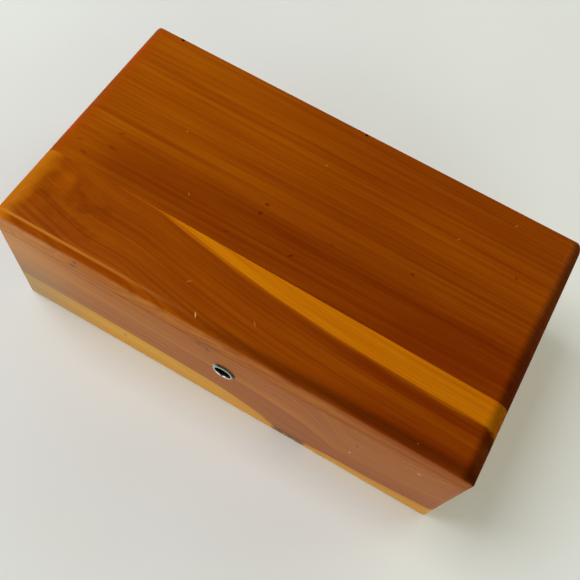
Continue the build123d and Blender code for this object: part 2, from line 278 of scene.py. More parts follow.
def varnish(tree, shader, vector, colour, figure, bare, wear, weight=0.3):
    """Glossy varnish over the wood where it isn't bare, thin and duller on the worn arrises."""
    covered = minus(tree, 1.0, bare)
    faded = blend(tree, times(tree, wear, 0.45), colour, (0.55, 0.3, 0.11, 1))
    dry = blend(tree, times(tree, bare, 0.5), faded, (0.46, 0.235, 0.12, 1))
    smears = noise(tree, vector, 45.0, 3.0)
    gloss = ease(tree, smears, 0.3, 0.7, 0.2, 0.3)
    rough = plus(tree, gloss, times(tree, bare, 0.25))
    rough = plus(tree, rough, times(tree, figure["Fibre"], 0.06))
    thickness = minus(tree, covered, times(tree, wear, 0.5), clamp=True)
    ripple = times(tree, noise(tree, vector, 260.0, 2.0), 0.25)
    raised = plus(tree, times(tree, figure["Fibre"], 0.3), times(tree, figure["Late Wood"], 0.6))
    height = plus(tree, ripple, raised)
    bump = put(tree, "ShaderNodeBump", {"Height": height, "Strength": 0.35, "Distance": 0.00006})
    feed(tree, shader, {
        "Base Color": dry, "Roughness": rough, "Normal": bump.outputs[0], "Specular IOR Level": 0.0,
        "Coat Weight": times(tree, thickness, weight), "Coat Roughness": 0.14, "Coat IOR": 1.4,
    })


def curve_of(tree, value, span, points, out_low, out_high):
    """A Float Curve through given points, (place, result), from value over span."""
    share = put(tree, "ShaderNodeMapRange", {"Value": value, "From Min": span[0], "From Max": span[1]})
    node = put(tree, "ShaderNodeFloatCurve", {"Value": share.outputs[0]})
    curve = node.mapping.curves[0]
    fitted = []
    for at, result in points:
        fitted.append(((at - span[0]) / (span[1] - span[0]), (result - out_low) / (out_high - out_low)))
    curve.points[0].location = fitted[0]
    curve.points[1].location = fitted[-1]
    for point in fitted[1:-1]:
        curve.points.new(*point)
    node.mapping.update()
    wide = put(tree, "ShaderNodeMapRange", {"Value": node.outputs[0], "To Min": out_low, "To Max": out_high})
    return wide.outputs[0]


def add_marks(tree, vector, facing, level, softness, marks):
    """Mask of small marks on the face that looks along y or z at a level.

    A mark is its place on the face, half length, half width, turn, and how deep it is sunk, if at all.
    """
    half_depth = 0.0015
    mask = 0.0
    for along, across, half_length, half_width, turn, *sunk in marks:
        depth = level - sum(sunk)
        if facing == "z":
            settings = {"Place": (along, across, depth), "Axis": (0, 0, 1), "Turn": radians(-turn),
                        "Size": (half_length, half_width, half_depth)}
        else:
            settings = {"Place": (along, depth, across), "Axis": (0, 1, 0), "Turn": radians(turn),
                        "Size": (half_length, half_depth, half_width)}
        found = place(tree, small_mark, Vector=vector, Softness=softness, **settings)
        mask = calc(tree, "MAXIMUM", mask, found["Mask"])
    return mask


def new_object(name, data):
    """An object of the scene that shows or holds the data."""
    made = bpy.data.objects.new(name, data)
    bpy.context.scene.collection.objects.link(made)
    return made


def stand_for(piece, node):
    """Lets a piece ride with the body of a CAD node and take the node's place."""
    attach(piece, frame["nodes"][node]["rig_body"])
    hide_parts(node)


def finished_copy(node, material, arris):
    """A copy of a CAD node as whole faces, its sharp edges broken by arris, in the node's place."""
    mesh = frame["nodes"][node].data.copy()
    shape = bmesh.new()
    shape.from_mesh(mesh)
    bmesh.ops.remove_doubles(shape, verts=shape.verts, dist=2e-6)
    bmesh.ops.dissolve_limit(shape, angle_limit=radians(0.3), verts=shape.verts, edges=shape.edges)
    for face in shape.faces:
        face.smooth = True
    shape.to_mesh(mesh)
    shape.free()
    mesh.materials.clear()
    mesh.materials.append(material)
    piece = new_object(node + "_finished", mesh)
    bevel = piece.modifiers.new("broken arrises", "BEVEL")
    bevel.width = arris
    bevel.segments = 2
    bevel.limit_method = "ANGLE"
    bevel.angle_limit = radians(32)
    bevel.harden_normals = True
    weighted = piece.modifiers.new("even shading", "WEIGHTED_NORMAL")
    weighted.keep_sharp = True
    stand_for(piece, node)


body_low, body_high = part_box("front_board")
inner_start, inner_end = 0.0095, 0.0099
front_wood, t, shader, vector, x, y, z = split_material("front board cedar")
half_length = body_high.x
span = (-half_length, half_length)
sap_line = curve_of(
    t, x, span,
    [(-half_length, 0.0212), (-0.06, 0.0207), (-0.024, 0.0196), (0.0, 0.0176), (0.012, 0.0141),
     (0.022, 0.0106), (0.028, 0.0063), (0.038, 0.0037), (0.047, 0.0052), (0.058, 0.0075),
     (0.084, 0.0097), (half_length, 0.0148)],
    0.0, 0.05,
)
pale_ring = curve_of(
    t, x, span,
    [(-half_length, 0.0460), (-0.06, 0.0446), (-0.017, 0.0414), (0.016, 0.0403), (0.039, 0.0362),
     (0.054, 0.0283), (0.064, 0.0234), (0.081, 0.0246), (half_length, 0.0334)],
    0.0, 0.05,
)
inward = times(t, minus(t, y, body_low.y), 0.35)
level = plus(t, z, inward)
ring_gap = minus(t, pale_ring, sap_line)
growth = calc(t, "DIVIDE", minus(t, level, sap_line), ring_gap)
growth_depth = times(t, growth, 0.0225)
figure = place(t, cedar_figure, Along=x, Across=growth_depth, Depth=y, Ring_Spacing=0.0042, Waver=0.0022)
ragged = times(t, minus(t, figure["Fibre"], 0.5), 0.004)
sap = ease(t, plus(t, growth_depth, ragged), -0.0006, 0.0006, 1.0, 0.0)
sap = times(t, sap, ease(t, x, 0.045, half_length, 1.0, 0.82))
flakes = noise(t, vector_of(t, times(t, x, 260.0), 0.0, times(t, z, 330.0)), 1.0, 3.0)
torn = times(t, minus(t, flakes, 0.5), 0.006)
from_middle = plus(t, calc(t, "ABSOLUTE", minus(t, x, 0.0384)), torn)
under_bark = ease(t, from_middle, 0.0078, 0.0096, 1.0, 0.0)
bark_top = ease(t, plus(t, z, torn), 0.0056, 0.0078, 1.0, 0.0)
bark_bottom = ease(t, z, 0.0, 0.0012)
front_only = ease(t, y, body_low.y + 0.004, body_low.y + 0.006, 1.0, 0.0)
bark = times(t, times(t, under_bark, bark_top), times(t, bark_bottom, front_only))
bark = times(t, bark, ease(t, flakes, 0.35, 0.6, 0.6, 1.0))
stripe = ease(t, calc(t, "ABSOLUTE", minus(t, growth, 1.0)), 0.0, 0.14, 1.0, 0.0)
stripe = times(t, stripe, ease(t, figure["Mottle"], 0.3, 0.6, 0.4, 1.0))
stripe = times(t, stripe, ease(t, x, 0.054, 0.07, 1.0, 0.15))
stripe = times(t, stripe, ease(t, x, -0.03, 0.03, 0.45, 1.0))
pinker = ease(t, x, -half_length, half_length)
under_ring = ease(t, growth, 0.8, 1.1, 1.0, 0.0)
deep = plus(t, times(t, figure["Mottle"], 0.6), times(t, pinker, 0.45))
deep = plus(t, deep, times(t, under_ring, 0.25))
deep = minus(t, deep, times(t, stripe, 0.9), clamp=True)
pin_knots = add_marks(t, vector, "y", body_low.y, 0.75, [
    (0.0218, 0.0514, 0.0008, 0.0013, 0), (-0.0536, 0.0139, 0.0009, 0.0022, 12),
    (0.0683, 0.0427, 0.0012, 0.0016, 0), (-0.0957, 0.0242, 0.0007, 0.001, 0),
    (0.0982, 0.0131, 0.0008, 0.0014, 0), (-0.0110, 0.0573, 0.0026, 0.0022, 30),
    (-0.0067, 0.0559, 0.0020, 0.0021, -20), (-0.1105, 0.0500, 0.0006, 0.0014, 0),
    (-0.1098, 0.0425, 0.0007, 0.0010, 0),
])
smudge = add_marks(t, vector, "y", body_low.y, 1.0, [(-0.0092, 0.0577, 0.0085, 0.0036, 8)])
dark = calc(t, "MAXIMUM", times(t, bark, 0.8), times(t, pin_knots, 0.68))
dark = calc(t, "MAXIMUM", dark, times(t, smudge, 0.4))
upper = ease(t, z, 0.032, 0.058)
heartwood = blend(t, upper, (0.455, 0.167, 0.037, 1), (0.445, 0.146, 0.020, 1))
deep_heartwood = blend(t, upper, (0.325, 0.103, 0.036, 1), (0.305, 0.088, 0.024, 1))
colour = place(
    t, cedar_colour, Heartwood=heartwood, Deep_Heartwood=deep_heartwood,
    Late_Wood=(0.20, 0.062, 0.025, 1), Sapwood=(0.62, 0.295, 0.042, 1), Deep=deep,
    Late=times(t, figure["Late Wood"], 0.09), Fibre=figure["Fibre"], Sap=sap, Dark_Marks=dark,
    Mark_Color=(0.110, 0.055, 0.046, 1),
)["Color"]
nicks = add_marks(t, vector, "y", body_low.y, 0.7, [
    (0.0955, 0.0514, 0.0013, 0.0008, 10), (0.0671, 0.0295, 0.0006, 0.0018, -10),
])
colour = blend(t, times(t, nicks, 0.7), colour, (0.68, 0.42, 0.28, 1))
# Painted reflection and shade on the left of the front: a greyish veil low down and a paler one higher up,
# fading out towards the middle.
painted_veil = blend(t, ease(t, z, 0.018, 0.05), (0.31, 0.265, 0.175, 1), (0.66, 0.35, 0.15, 1))
colour = blend(t, ease(t, x, -half_length, -0.055, 0.5, 0.0), colour, painted_veil)
inside = ease(t, y, body_low.y + inner_start, body_low.y + inner_end)
wear = worn_arrises(t, vector, body_low, body_high, 0.0011)
wear = times(t, wear, ease(t, z, body_high.z - 0.0024, body_high.z - 0.0012, 1.0, 0.0))
varnish(t, shader, vector, colour, figure, inside, wear)
finished_copy("front_board", front_wood, 0.0002)


# ---------------------------------------------------------------------------------------------
# Back board and end boards of the body.  More cedar from the same stock; the ends sit in the
# rabbets with their grain running front to back, and all four boards are glued.  The insides are
# left bare so that the scent of the wood gets out.
# ---------------------------------------------------------------------------------------------
def plain_board(name, node, along, pith, deep_shift, spacing=0.0034):
    """Cedar sawn at a distance from the pith; along is the grain's direction, x or y."""
    material, t, shader, vector, x, y, z = split_material(name)
    low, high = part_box(node)
    run, side = (x, y) if along == "x" else (y, x)
    from_pith = vector_of(t, minus(t, side, pith[0]), minus(t, z, pith[1]), 0.0)
    taper = times(t, run, 0.02)
    growth = plus(t, length(t, from_pith), taper)
    figure = place(t, cedar_figure, Along=run, Across=growth, Depth=times(t, side, 0.3),
                   Ring_Spacing=spacing, Waver=0.0035)
    deep = plus(t, times(t, figure["Mottle"], 1.1), deep_shift, clamp=True)
    colour = place(
        t, cedar_colour, Heartwood=(0.39, 0.150, 0.045, 1), Deep_Heartwood=(0.26, 0.083, 0.026, 1),
        Late_Wood=(0.17, 0.045, 0.016, 1), Sapwood=(0.56, 0.285, 0.052, 1), Deep=deep,
        Late=times(t, figure["Late Wood"], 0.6), Fibre=figure["Fibre"], Sap=0.0, Dark_Marks=0.0,
    )["Color"]
    inner_x = ease(t, minus(t, body_high.x, calc(t, "ABSOLUTE", x)), inner_start, inner_end)
    inner_y = ease(t, minus(t, back_high.y, calc(t, "ABSOLUTE", y)), inner_start, inner_end)
    inside = times(t, inner_x, inner_y)
    varnish(t, shader, vector, colour, figure, inside, worn_arrises(t, vector, low, high, 0.0011))
    return material


back_low, back_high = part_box("back_board")
back_wood = plain_board("back board cedar", "back_board", "x", (back_low.y - 0.02, -0.012), -0.05)
left_wood = plain_board("left end cedar", "left_end_board", "y", (-0.135, 0.028), 0.1)
right_wood = plain_board("right end cedar", "right_end_board", "y", (0.145, -0.02), 0.0, 0.0029)
finished_copy("back_board", back_wood, 0.0003)
finished_copy("left_end_board", left_wood, 0.0003)
finished_copy("right_end_board", right_wood, 0.0003)


# ---------------------------------------------------------------------------------------------
# Bottom panel.  A thin bare cedar panel, held loose in grooves in all four boards so that it can
# swell and shrink.  Nothing is fastened through it.
# ---------------------------------------------------------------------------------------------
panel_wood, t, shader, vector, x, y, z = split_material("bottom panel cedar")
arc = vector_of(t, plus(t, y, 0.012), plus(t, z, 0.055), 0.0)
growth = plus(t, length(t, arc), times(t, x, 0.03))
figure = place(t, cedar_figure, Along=x, Across=growth, Depth=z, Ring_Spacing=0.0026, Waver=0.005)
colour = place(
    t, cedar_colour, Heartwood=(0.42, 0.185, 0.075, 1), Deep_Heartwood=(0.31, 0.115, 0.045, 1),
    Late_Wood=(0.22, 0.07, 0.028, 1), Sapwood=(0.55, 0.33, 0.12, 1), Deep=figure["Mottle"],
    Late=times(t, figure["Late Wood"], 0.55), Fibre=figure["Fibre"],
    Sap=ease(t, growth, 0.082, 0.085), Dark_Marks=0.0,
)["Color"]
low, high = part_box("bottom_panel")
varnish(t, shader, vector, colour, figure, 1.0, worn_arrises(t, vector, low, high, 0.001))
finished_copy("bottom_panel", panel_wood, 0.0002)


# ---------------------------------------------------------------------------------------------
# Lid.  Two cedar boards edge-glued on a slightly skewed line and shaped as one slab: full rounds
# over the ends, a smaller one along the front and a broken arris at the back.  The back board is
# straight-grained heartwood; the front one carries a wedge of sapwood along the glue line.
# ---------------------------------------------------------------------------------------------
def lid_sides(tree, y, z):
    """Mask of the lid's upright faces, where the varnish has kept the pinker colour of the body."""
    front = ease(tree, y, body_low.y + 0.0002, body_low.y + 0.0014, 1.0, 0.0)
    back = ease(tree, y, lid_high.y - 0.0007, lid_high.y - 0.0002)
    below = ease(tree, z, lid_high.z - 0.0066, lid_high.z - 0.0046, 1.0, 0.0)
    return calc(tree, "MAXIMUM", front, calc(tree, "MAXIMUM", back, below))


def lid_ends(tree, x, y, colour, sap, left_glow_colour, worn, upright):
    """The rounded ends: painted shade darkens the right one, and a painted glow of the light from the left
    lightens the left one to the given colour.
    """
    start = ease(tree, y, 0.0, 0.055, lid_high.x - 0.0085, lid_high.x - 0.0069)
    rounded = minus(tree, 1.0, upright)
    # Painted shade on the round of the right end, lighter on sapwood than on heartwood.
    painted_end_shade = ease(tree, minus(tree, x, start), 0.0, 0.0042)
    shade = blend(tree, sap, (0.34, 0.33, 0.35, 1), (0.46, 0.50, 0.60, 1))
    shade = blend(tree, times(tree, painted_end_shade, rounded), (1.0, 1.0, 1.0, 1), shade)
    colour = blend(tree, 1.0, colour, shade, "MULTIPLY")
    # Painted glow of the light from the left on the round of the left end, with a wandering edge.
    patches = noise(tree, vector_of(tree, x, y, 0.0), 120.0, 2.0)
    wander = times(tree, minus(tree, patches, 0.5), 0.008)
    rubbed = ease(tree, plus(tree, x, wander), 0.0045 - lid_high.x, 0.0123 - lid_high.x, worn, 0.0)
    return blend(tree, times(tree, rubbed, rounded), colour, left_glow_colour)


def lid_coat(tree, x, y):
    """Weight of the lid's varnish, which is rubbed thin on the rounds of the ends and the front."""
    on_end = ease(tree, calc(tree, "ABSOLUTE", x), lid_high.x - 0.0110, lid_high.x - 0.0065)
    on_front = ease(tree, y, body_low.y + 0.0030, body_low.y + 0.0070, 1.0, 0.0)
    rounded = calc(tree, "MAXIMUM", on_end, on_front)
    return ease(tree, rounded, 0.0, 1.0, 0.2, 0.035)


def lid_finish(tree, shader, vector, x, y, z, colour, figure):
    """Varnish on the lid's top and edges, worn at its outer arrises, over a bare underside."""
    underside = ease(tree, z, lid_low.z + 0.0002, lid_low.z + 0.0004, 1.0, 0.0)
    slab_low = Vector((-lid_high.x, -lid_high.y, lid_low.z))
    wear = worn_arrises(tree, vector, slab_low, lid_high, 0.0012)
    wear = times(tree, wear, ease(tree, z, lid_low.z + 0.0012, lid_low.z + 0.0024))
    varnish(tree, shader, vector, colour, figure, underside, wear, lid_coat(tree, x, y))


lid_low, lid_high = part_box("lid_back_board")
back_lid_wood, t, shader, vector, x, y, z = split_material("lid back board cedar")
fall_to_right = times(t, x, 0.0021)
lean = times(t, minus(t, lid_high.z, z), 0.6)
growth = plus(t, plus(t, y, fall_to_right), lean)
figure = place(t, cedar_figure, Along=x, Across=growth, Depth=z, Ring_Spacing=0.0023, Waver=0.0010)
drift = times(t, minus(t, figure["Mottle"], 0.5), 0.0003)
late_lines = [(-0.0185, 0.55), (-0.0125, 0.6), (-0.0064, 0.75), (0.0066, 0.85), (0.0123, 0.7), (0.0173, 0.7),
              (0.0237, 0.6), (0.0282, 0.55), (0.0327, 0.45), (0.0407, 0.5), (0.0528, 0.55)]
ramp_start, ramp_end = -0.03, 0.066
line_rise = 0.0095
line_share = put(t, "ShaderNodeMapRange", {"Value": plus(t, growth, drift),
                                           "From Min": ramp_start, "From Max": ramp_end})
ramp = put(t, "ShaderNodeValToRGB", {"Fac": line_share.outputs[0]})
ramp.color_ramp.elements[0].color = (0, 0, 0, 1)
ramp.color_ramp.elements[1].color = (0, 0, 0, 1)
for at, depth in late_lines:
    share = (at - ramp_start) / (ramp_end - ramp_start)
    before = ramp.color_ramp.elements.new(share - line_rise)
    before.color = (0, 0, 0, 1)
    peak = ramp.color_ramp.elements.new(share)
    peak.color = (depth, depth, depth, 1)
strong = calc(t, "POWER", ramp.outputs[0], 2.6)
along_line = vector_of(t, times(t, x, 14.0), times(t, growth, 120.0), 0.0)
faded = ease(t, noise(t, along_line, 1.0, 2.0), 0.32, 0.65, 0.35, 1.0)
strong = times(t, strong, faded)
late = plus(t, times(t, figure["Late Wood"], 0.16), times(t, strong, 0.6), clamp=True)
# Deeper colour towards the right: partly the board's own tone, partly painted sheen of the light from the
# left.
toward_right = ease(t, x, -0.10, 0.04)
band = times(t, ease(t, y, -0.008, 0.014, 1.0, 0.0), ease(t, x, -0.108, -0.078))
band = times(t, band, minus(t, 0.42, times(t, toward_right, 0.19)))
deep = plus(t, times(t, toward_right, 0.47), times(t, figure["Mottle"], 0.8))
deep = plus(t, deep, band)
deep = minus(t, deep, 0.21, clamp=True)
pin_knots = add_marks(t, vector, "z", lid_high.z, 0.85, [
    (-0.0170, 0.0034, 0.0017, 0.0011, 10), (-0.0174, -0.0021, 0.0012, 0.0017, -30),
    (0.0041, -0.0134, 0.0019, 0.0009, 50), (0.0530, 0.0069, 0.0012, 0.0010, -35),
    (0.0929, 0.0299, 0.0010, 0.0008, 0),
])
soft_knots = add_marks(t, vector, "z", lid_high.z, 1.0, [
    (-0.0903, 0.0, 0.0022, 0.0011, 20), (-0.0895, -0.0086, 0.0040, 0.0015, 0),
    (-0.1039, -0.0124, 0.0026, 0.0011, 20), (-0.0986, -0.0171, 0.0032, 0.0013, -10),
    (0.0167, 0.0007, 0.0018, 0.0008, 0), (-0.0250, -0.0178, 0.0022, 0.0008, 30),
])
pin_knots = calc(t, "MAXIMUM", pin_knots, times(t, soft_knots, 0.6))
pits = add_marks(t, vector, "z", lid_high.z, 0.5, [
    (-0.0976, 0.0617, 0.0014, 0.0010, -20, 0.0002), (0.0029, 0.0614, 0.0012, 0.0008, 0, 0.0002),
])
upright = lid_sides(t, y, z)
heartwood = blend(t, upright, (0.385, 0.090, 0.001, 1), (0.44, 0.160, 0.034, 1))
deep_heartwood = blend(t, upright, (0.19, 0.026, 0.0004, 1), (0.29, 0.094, 0.029, 1))
colour = place(
    t, cedar_colour, Heartwood=heartwood, Deep_Heartwood=deep_heartwood,
    Late_Wood=(0.105, 0.012, 0.0004, 1), Sapwood=(0.52, 0.20, 0.004, 1), Deep=deep, Late=late,
    Fibre=figure["Fibre"], Sap=0.0, Dark_Marks=times(t, pin_knots, 0.7), Mark_Color=(0.07, 0.008, 0.001, 1),
)["Color"]
colour = lid_ends(t, x, y, colour, 0.0, (0.37, 0.062, 0.002, 1), 0.6, upright)
# Painted glow of the light from the left on the round of the left end, none on the upright faces.
glow = add_marks(t, vector, "z", lid_high.z, 1.0, [
    (-0.1120, -0.0080, 0.0035, 0.0085, 0, 0.001), (-0.1120, 0.0440, 0.0030, 0.0180, 0, 0.001),
])
glow = times(t, glow, minus(t, 0.75, times(t, upright, 0.75)))
colour = blend(t, glow, colour, (0.58, 0.060, 0.001, 1))
colour = blend(t, pits, colour, (0.012, 0.004, 0.002, 1))
scratches = add_marks(t, vector, "z", lid_high.z, 0.6, [
    (0.0829, 0.0548, 0.0012, 0.00022, 60), (0.0631, 0.0340, 0.0011, 0.0002, 55),
    (-0.0049, 0.0360, 0.001, 0.0002, 50), (-0.0669, 0.0173, 0.0006, 0.0004, -50),
    (-0.0483, -0.0106, 0.0012, 0.0002, -40),
])
colour = blend(t, times(t, scratches, 0.6), colour, (0.62, 0.30, 0.09, 1))
lid_finish(t, shader, vector, x, y, z, colour, figure)
finished_copy("lid_back_board", back_lid_wood, 0.0002)

front_lid_wood, t, shader, vector, x, y, z = split_material("lid front board cedar")
wedge_line = curve_of(
    t, x, span,
    [(-half_length, -0.0150), (-0.085, -0.0215), (-0.075, -0.0236), (-0.062, -0.0240), (-0.0528, -0.0244),
     (-0.0454, -0.0257), (-0.0255, -0.0293), (-0.0027, -0.0328), (0.0258, -0.0358), (0.0543, -0.0376),
     (half_length, -0.0392)],
    -0.05, 0.0,
)
lean = times(t, minus(t, lid_high.z, z), 0.5)
growth = minus(t, plus(t, y, lean), wedge_line)
figure = place(t, cedar_figure, Along=x, Across=growth, Depth=z, Ring_Spacing=0.0038, Waver=0.0025)
ragged = times(t, minus(t, figure["Fibre"], 0.5), 0.005)
sap = ease(t, plus(t, growth, ragged), -0.0012, 0.0012)
sap = times(t, sap, ease(t, x, -0.082, -0.040))
below = ease(t, growth, -0.0062, -0.0025, 0.0, 1.0)
below = times(t, below, ease(t, x, -0.02, 0.08))
pale_strip = ease(t, calc(t, "ABSOLUTE", plus(t, growth, 0.0085)), 0.0, 0.003, 1.0, 0.0)
pale_strip = times(t, pale_strip, ease(t, x, 0.0, 0.06))
# Deeper colour towards the right: partly the board's own tone, partly painted sheen of the light from the
# left.
toward_right = ease(t, x, -half_length, half_length)
deep = plus(t, times(t, toward_right, 0.41), times(t, figure["Mottle"], 1.35))
deep = plus(t, deep, times(t, below, 0.5))
deep = minus(t, deep, plus(t, times(t, pale_strip, 0.24), 0.42), clamp=True)
region = add_marks(t, vector, "z", lid_high.z, 0.9, [(-0.0860, -0.0440, 0.034, 0.024, -10)])
spread_out = vector_of(t, times(t, x, 115.0), times(t, y, 190.0), 0.0)
blotches = times(t, region, ease(t, noise(t, spread_out, 1.0, 1.5), 0.36, 0.70))
streaky = ease(t, figure["Fibre"], 0.35, 0.65, 0.24, 0.55)
deep = plus(t, deep, times(t, blotches, streaky), clamp=True)
light_patch = add_marks(t, vector, "z", lid_high.z, 1.0, [(-0.0950, -0.0345, 0.006, 0.0095, 0)])
deep = minus(t, deep, times(t, light_patch, 0.6), clamp=True)
knots = add_marks(t, vector, "y", body_low.y, 0.8, [
    (-0.0712, 0.0683, 0.0016, 0.0014, 40), (-0.0727, 0.0646, 0.0030, 0.0019, 20),
    (-0.1040, 0.0632, 0.0013, 0.0016, 0),
])
upright = lid_sides(t, y, z)
heartwood = blend(t, upright, (0.355, 0.076, 0.001, 1), (0.490, 0.171, 0.035, 1))
deep_heartwood = blend(t, upright, (0.18, 0.025, 0.0006, 1), (0.315, 0.100, 0.037, 1))
knot_colour = blend(t, upright, (0.05, 0.012, 0.003, 1), (0.105, 0.060, 0.050, 1))
sapwood = blend(t, ease(t, x, -0.04, 0.1), (0.55, 0.156, 0.0015, 1), (0.485, 0.132, 0.001, 1))
sapwood = blend(t, upright, sapwood, (0.62, 0.295, 0.042, 1))
colour = place(
    t, cedar_colour, Heartwood=heartwood, Deep_Heartwood=deep_heartwood,
    Late_Wood=(0.115, 0.016, 0.0006, 1), Sapwood=sapwood, Deep=deep,
    Late=times(t, figure["Late Wood"], 0.34), Fibre=figure["Fibre"], Sap=sap,
    Dark_Marks=times(t, knots, 0.85), Mark_Color=knot_colour,
)["Color"]
colour = lid_ends(t, x, y, colour, sap, (0.56, 0.17, 0.004, 1), 0.85, upright)
from_front = minus(t, y, body_low.y)
# Painted highlight: a golden line along the front round at the left, fading out towards the middle.
painted_highlight_line = ease(t, calc(t, "ABSOLUTE", minus(t, from_front, 0.0041)), 0.0001, 0.0010, 1.0, 0.0)
painted_highlight_line = times(t, painted_highlight_line, ease(t, x, -0.09, -0.012, 0.75, 0.0))
colour = blend(t, painted_highlight_line, colour, (0.62, 0.21, 0.012, 1))
# Painted shade along the front round, strongest towards the right.
painted_shade_line = times(t, ease(t, from_front, -0.0003, 0.0029), ease(t, from_front, 0.0040, 0.0075, 1.0, 0.0))
painted_shade_line = times(t, painted_shade_line, ease(t, x, -0.05, 0.05, 0.0, 0.55))
colour = blend(t, painted_shade_line, colour, (0.03, 0.002, 0.0004, 1))
# Painted pale reflection on the upright faces at the left of the lid, as on the front board below.
faded = times(t, upright, ease(t, x, -half_length, -0.045, 0.38, 0.0))
colour = blend(t, faded, colour, (0.66, 0.35, 0.18, 1))
scratches = add_marks(t, vector, "z", lid_high.z, 0.8, [
    (-0.0255, -0.0464, 0.0018, 0.00022, 45), (0.0073, -0.0488, 0.0018, 0.00022, -45),
    (-0.0550, -0.0587, 0.0006, 0.0003, 0, 0.0009), (0.0870, -0.0590, 0.0008, 0.0003, 0, 0.0009),
])
chip = add_marks(t, vector, "z", lid_high.z, 0.6, [(-0.0152, -0.0579, 0.0020, 0.0005, -60, 0.0006)])
scratches = calc(t, "MAXIMUM", times(t, scratches, 0.6), chip)
colour = blend(t, scratches, colour, (0.70, 0.32, 0.09, 1))
lid_finish(t, shader, vector, x, y, z, colour, figure)
finished_copy("lid_front_board", front_lid_wood, 0.0002)


# ---------------------------------------------------------------------------------------------
# Hinges.  Two pressed brass butts let into the body and the lid, each with three rolled knuckles
# on a steel pin.  They are lacquered and have dulled unevenly.
# ---------------------------------------------------------------------------------------------
aged_metal, given, result = new_group(
    "aged metal", "ShaderNodeTree",
    [("Vector", "Vector", None), ("Bright", "Color", (0.8, 0.6, 0.3, 1)),
     ("Tarnish", "Color", (0.3, 0.2, 0.1, 1)), ("Amount", "Float", 0.5), ("Wear", "Float", 0.0),
     ("Smooth", "Float", 0.25), ("Dull", "Float", 0.5)],
    [("Color", "Color"), ("Roughness", "Float"), ("Height", "Float")],
)
t = aged_metal
clouds = noise(t, given["Vector"], 180.0, 4.0, 0.6)
spots = ease(t, noise(t, given["Vector"], 1100.0, 3.0, 0.6), 0.56, 0.68)
film = times(t, ease(t, clouds, 0.26, 0.76), given["Amount"])
film = plus(t, film, times(t, spots, times(t, given["Amount"], 0.5)), clamp=True)
film = minus(t, film, times(t, given["Wear"], 0.8), clamp=True)
t.links.new(blend(t, film, given["Bright"], given["Tarnish"]), result.inputs["Color"])
stretched = vector_calc(t, "MULTIPLY", given["Vector"], (60.0, 4200.0, 4200.0))
brushed = noise(t, stretched, 1.0, 3.0)
rough = ease(t, film, 0.0, 1.0)
spread = minus(t, given["Dull"], given["Smooth"])
rough = plus(t, given["Smooth"], times(t, rough, spread))
rough = plus(t, rough, times(t, minus(t, brushed, 0.5), 0.12), clamp=True)
t.links.new(rough, result.inputs["Roughness"])
relief = plus(t, times(t, brushed, 0.5), times(t, spots, -0.5))
t.links.new(relief, result.inputs["Height"])


def metal_material(name, node, bright, tarnish, amount, smooth, dull, worn_reach=0.0005):
    """Metal with a dulled film that is rubbed off along the edges of the node's box."""
    material, tree, shader, vector = new_material(name.replace("_", " "))
    low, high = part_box(node)
    surface = place(tree, aged_metal, Vector=vector, Bright=bright, Tarnish=tarnish, Amount=amount,
                    Wear=worn_arrises(tree, vector, low, high, worn_reach), Smooth=smooth, Dull=dull)
    relief = {"Height": surface["Height"], "Strength": 0.3, "Distance": 0.00003}
    bump = put(tree, "ShaderNodeBump", relief)
    feed(tree, shader, {"Base Color": surface["Color"], "Roughness": surface["Roughness"],
                        "Normal": bump.outputs[0], "Metallic": 1.0})
    return material


brass = (0.80, 0.57, 0.24, 1)
dull_brass = (0.42, 0.27, 0.10, 1)
for side in ("left", "right"):
    for leaf in ("body_leaf", "lid_leaf"):
        node = f"hinge_{side}_{leaf}"
        leaf_brass = metal_material(node + " brass", node, brass, dull_brass, 0.75, 0.22, 0.5)
        finished_copy(node, leaf_brass, 0.00012)
    pin = f"hinge_{side}_pin"
    pin_steel = metal_material(pin + " steel", pin, (0.56, 0.55, 0.53, 1), (0.22, 0.19, 0.16, 1),
                               0.6, 0.25, 0.55)
    finished_copy(pin, pin_steel, 0.0001)


# ---------------------------------------------------------------------------------------------
# Screws.  Small countersunk slotted wood screws: brass in the hinges and the strike plate, steel
# in the lock.  They are driven by hand, so that no two slots line up.
# ---------------------------------------------------------------------------------------------
screw_tree, given, result = new_group(
    "countersunk screws", "GeometryNodeTree",
    [("Places", "Geometry", None), ("Head Radius", "Float", 0.0016), ("Shank Radius", "Float", 0.0008),
     ("Length", "Float", 0.006), ("Slot Width", "Float", 0.0005), ("Slot Depth", "Float", 0.00055),
     ("Tilt", "Rotation", None), ("Seed", "Int", 0), ("Finish", "Material", None)],
    [("Screws", "Geometry")],
)
t = screw_tree
head_depth = minus(t, given["Head Radius"], given["Shank Radius"])
head = put(t, "GeometryNodeMeshCone", {"Vertices": 32, "Radius Top": given["Head Radius"],
                                       "Radius Bottom": given["Shank Radius"], "Depth": head_depth})
head = put(t, "GeometryNodeTransform", {
    "Geometry": head.outputs["Mesh"], "Translation": vector_of(t, 0.0, 0.0, times(t, head_depth, -1.0))})
shank_length = minus(t, given["Length"], times(t, head_depth, 0.5))
shank = put(t, "GeometryNodeMeshCylinder", {"Vertices": 32, "Radius": given["Shank Radius"],
                                            "Depth": shank_length})
shank_middle = minus(t, times(t, shank_length, 0.5), given["Length"])
shank = put(t, "GeometryNodeTransform", {
    "Geometry": shank.outputs["Mesh"], "Translation": vector_of(t, 0.0, 0.0, shank_middle)})
slot_size = vector_of(t, times(t, given["Head Radius"], 2.4), given["Slot Width"],
                   times(t, given["Slot Depth"], 2.0))
slot = put(t, "GeometryNodeMeshCube", {"Size": slot_size})
whole = put(t, "GeometryNodeMeshBoolean", operation="UNION", solver="EXACT")
t.links.new(head.outputs[0], whole.inputs["Mesh 2"])
t.links.new(shank.outputs[0], whole.inputs["Mesh 2"])
